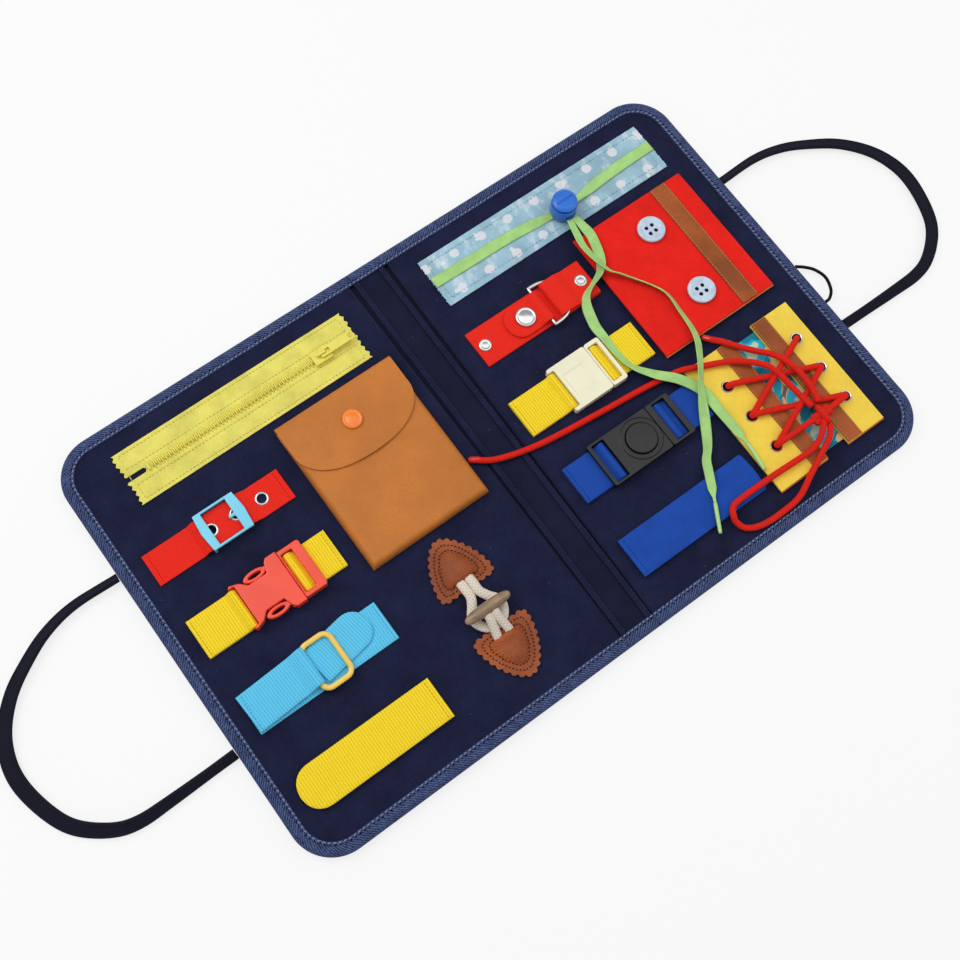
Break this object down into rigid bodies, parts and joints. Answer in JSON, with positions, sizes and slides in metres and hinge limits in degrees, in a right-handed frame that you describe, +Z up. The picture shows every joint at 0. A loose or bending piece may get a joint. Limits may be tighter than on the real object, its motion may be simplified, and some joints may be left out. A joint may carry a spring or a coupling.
{
  "type": "quiet book",
  "caption": "Open felt quiet book of two hinged pages with handles, a zip, straps and buckles, a snap pouch, a toggle, a drawstring, buttons and laces to practise on.",
  "frame": {"origin": "centre of the open book, on the face that it lies on", "axes": "+X from the left page to the right page, +Y towards the zip, +Z up out of the pages"},
  "size_m": [0.6544, 0.28, 0.0225],
  "materials": {
    "navy_felt": "felt",
    "dark_felt": "felt",
    "navy_twill": "twill tape",
    "handle_fabric": "woven strap",
    "black_elastic": "covered elastic",
    "pale_yellow": "zip tape with moulded teeth",
    "yellow_plastic": "moulded",
    "red_webbing": "webbing",
    "light_blue_plastic": "moulded",
    "yellow_webbing": "webbing",
    "coral_plastic": "moulded",
    "sky_webbing": "webbing",
    "ring_plastic": "moulded",
    "tan_leather": "imitation leather",
    "brown_leather": "imitation leather",
    "horn": "horn-look resin",
    "aqua_fabric": "printed cotton",
    "green_ribbon": "ribbon",
    "lock_plastic": "moulded",
    "steel": "plated wire",
    "cream_plastic": "moulded",
    "black_plastic": "moulded",
    "royal_webbing": "webbing",
    "red_felt": "felt",
    "yellow_felt": "felt",
    "insert_fabric": "printed cotton",
    "lace_red": "round lace"
  },
  "bodies": {
    "spine": {"spine": "dark_felt"},
    "left_page": {"left_page_back": "navy_felt", "left_page_felt": "navy_felt", "left_binding": "navy_twill", "zip_tape_upper": "pale_yellow", "zip_tape_lower": "pale_yellow", "belt_strap": "red_webbing", "clip_strap_left": "yellow_webbing", "clip_socket": "coral_plastic", "clip_strap_right": "yellow_webbing", "ring_strap": "sky_webbing", "yellow_hook_pad": "yellow_webbing", "pouch_body": "tan_leather", "toggle_patch_upper": "brown_leather", "toggle_patch_lower": "brown_leather"},
    "right_page": {"right_page_back": "navy_felt", "right_page_felt": "navy_felt", "right_binding": "navy_twill", "elastic_loop": "black_elastic", "channel_fabric": "aqua_fabric", "channel_ribbon": "green_ribbon", "ribbon_tail_a": "green_ribbon", "ribbon_tail_b": "green_ribbon", "snap_strap": "red_webbing", "d_ring": "steel", "cream_strap_left": "yellow_webbing", "cream_socket": "cream_plastic", "cream_strap_right": "yellow_webbing", "push_strap_left": "royal_webbing", "push_socket": "black_plastic", "push_strap_right": "royal_webbing", "blue_hook_pad": "royal_webbing", "button_base": "red_felt", "button_flap": "red_felt", "lace_insert": "insert_fabric", "lacing": "lace_red", "lace_loop": "lace_red", "lace_tail_long": "lace_red", "lace_tail_short": "lace_red"},
    "left_handle": {"left_handle": "handle_fabric"},
    "right_handle": {"right_handle": "handle_fabric"},
    "zip_slider": {"zip_slider": "yellow_plastic"},
    "zip_pull": {"zip_pull": "yellow_plastic"},
    "belt_buckle": {"belt_buckle": "light_blue_plastic"},
    "clip_plug": {"clip_plug": "coral_plastic"},
    "slide_ring": {"slide_ring": "ring_plastic"},
    "ring_tab": {"ring_tab": "sky_webbing"},
    "yellow_hook_strap": {"yellow_hook_strap": "yellow_webbing"},
    "pouch_flap": {"pouch_flap": "tan_leather"},
    "toggle_bar": {"toggle_bar": "horn"},
    "cord_lock": {"cord_lock_body": "lock_plastic"},
    "cord_lock_plunger": {"cord_lock_plunger": "lock_plastic"},
    "snap_tab": {"snap_tab": "red_webbing"},
    "cream_plug": {"cream_plug": "cream_plastic"},
    "push_plug": {"push_plug": "black_plastic"},
    "push_button": {"push_button": "black_plastic"},
    "blue_hook_strap": {"blue_hook_strap": "royal_webbing"},
    "button_flap_edge": {"button_flap_edge": "red_felt"},
    "lace_flap_left": {"lace_flap_left": "yellow_felt"},
    "lace_flap_right": {"lace_flap_right": "yellow_felt"}
  },
  "joints": [
    {"name": "left_page_hinge", "type": "hinge", "parent": "spine", "child": "left_page", "pos_m": [-0.011, 0, 0.0069], "axis": [0, 1, 0], "range_deg": [0, 90]},
    {"name": "right_page_hinge", "type": "hinge", "parent": "spine", "child": "right_page", "pos_m": [0.011, 0, 0.0069], "axis": [0, -1, 0], "range_deg": [0, 90], "deforming": ["lace_tail_long"]},
    {"name": "left_handle_hinge", "type": "hinge", "parent": "left_page", "child": "left_handle", "pos_m": [-0.2203, 0, 0.003], "axis": [0, -1, 0], "range_deg": [-90, 0]},
    {"name": "right_handle_hinge", "type": "hinge", "parent": "right_page", "child": "right_handle", "pos_m": [0.2203, 0, 0.003], "axis": [0, 1, 0], "range_deg": [-90, 0]},
    {"name": "zip_slide", "type": "slide", "parent": "left_page", "child": "zip_slider", "axis": [1, 0, 0], "range_m": [-0.1, 0]},
    {"name": "zip_pull_hinge", "type": "hinge", "parent": "zip_slider", "child": "zip_pull", "pos_m": [-0.053, 0.104, 0.0113], "axis": [0, 1, 0], "range_deg": [-170, 0]},
    {"name": "belt_buckle_tilt", "type": "hinge", "parent": "left_page", "child": "belt_buckle", "pos_m": [-0.1675, 0.05099, 0.0091], "axis": [0, 1, 0], "range_deg": [-15, 0]},
    {"name": "clip_pull_out", "type": "slide", "parent": "left_page", "child": "clip_plug", "axis": [-1, 0, 0], "range_m": [-0.012, 0], "deforming": ["clip_strap_right"]},
    {"name": "slide_ring_hinge", "type": "hinge", "parent": "left_page", "child": "slide_ring", "pos_m": [-0.1624, -0.0478, 0.0102], "axis": [0, 1, 0], "range_deg": [-80, 0]},
    {"name": "ring_tab_hinge", "type": "hinge", "parent": "slide_ring", "child": "ring_tab", "pos_m": [-0.1428, -0.0478, 0.0102], "axis": [0, 1, 0], "range_deg": [-80, 0]},
    {"name": "yellow_hook_hinge", "type": "hinge", "parent": "left_page", "child": "yellow_hook_strap", "pos_m": [-0.113, -0.1005, 0.0076], "axis": [0, -1, 0], "range_deg": [-130, 0]},
    {"name": "pouch_flap_hinge", "type": "hinge", "parent": "left_page", "child": "pouch_flap", "pos_m": [-0.06175, 0.08, 0.0137], "axis": [1, 0, 0], "range_deg": [-150, 0]},
    {"name": "toggle_turn", "type": "hinge", "parent": "left_page", "child": "toggle_bar", "pos_m": [-0.064, -0.0764, 0.0158], "axis": [0, 0, 1], "range_deg": [-90, 0]},
    {"name": "cord_lock_slide", "type": "slide", "parent": "right_page", "child": "cord_lock", "axis": [0, 1, 0], "range_m": [-0.01, 0], "deforming": ["ribbon_tail_a", "ribbon_tail_b"]},
    {"name": "cord_lock_press", "type": "slide", "parent": "cord_lock", "child": "cord_lock_plunger", "axis": [0, 0, 1], "range_m": [-0.002, 0], "stiffness_N_per_m": 800, "springref_m": 0.001},
    {"name": "snap_tab_hinge", "type": "hinge", "parent": "right_page", "child": "snap_tab", "pos_m": [0.0728, 0.054, 0.0101], "axis": [0, -1, 0], "range_deg": [-120, 0]},
    {"name": "cream_pull_out", "type": "slide", "parent": "right_page", "child": "cream_plug", "axis": [-1, 0, 0], "range_m": [-0.01, 0], "deforming": ["cream_strap_right"]},
    {"name": "push_pull_out", "type": "slide", "parent": "right_page", "child": "push_plug", "axis": [-1, 0, 0], "range_m": [-0.01, 0], "deforming": ["push_strap_right"]},
    {"name": "push_button_press", "type": "slide", "parent": "right_page", "child": "push_button", "axis": [0, 0, 1], "range_m": [-0.0015, 0], "stiffness_N_per_m": 800, "springref_m": 0.001},
    {"name": "blue_hook_hinge", "type": "hinge", "parent": "right_page", "child": "blue_hook_strap", "pos_m": [0.0205, -0.1005, 0.0076], "axis": [0, 1, 0], "range_deg": [-130, 0], "deforming": ["lace_loop"]},
    {"name": "button_edge_hinge", "type": "hinge", "parent": "right_page", "child": "button_flap_edge", "pos_m": [0.1478, 0.0315, 0.01], "axis": [0, -1, 0], "range_deg": [-70, 0]},
    {"name": "lace_left_hinge", "type": "hinge", "parent": "right_page", "child": "lace_flap_left", "pos_m": [0.117, -0.07425, 0.0076], "axis": [0, 1, 0], "range_deg": [-20, 0], "deforming": ["lacing", "lace_tail_short"]},
    {"name": "lace_right_hinge", "type": "hinge", "parent": "right_page", "child": "lace_flap_right", "pos_m": [0.197, -0.07425, 0.0076], "axis": [0, -1, 0], "range_deg": [-20, 0]}
  ]
}
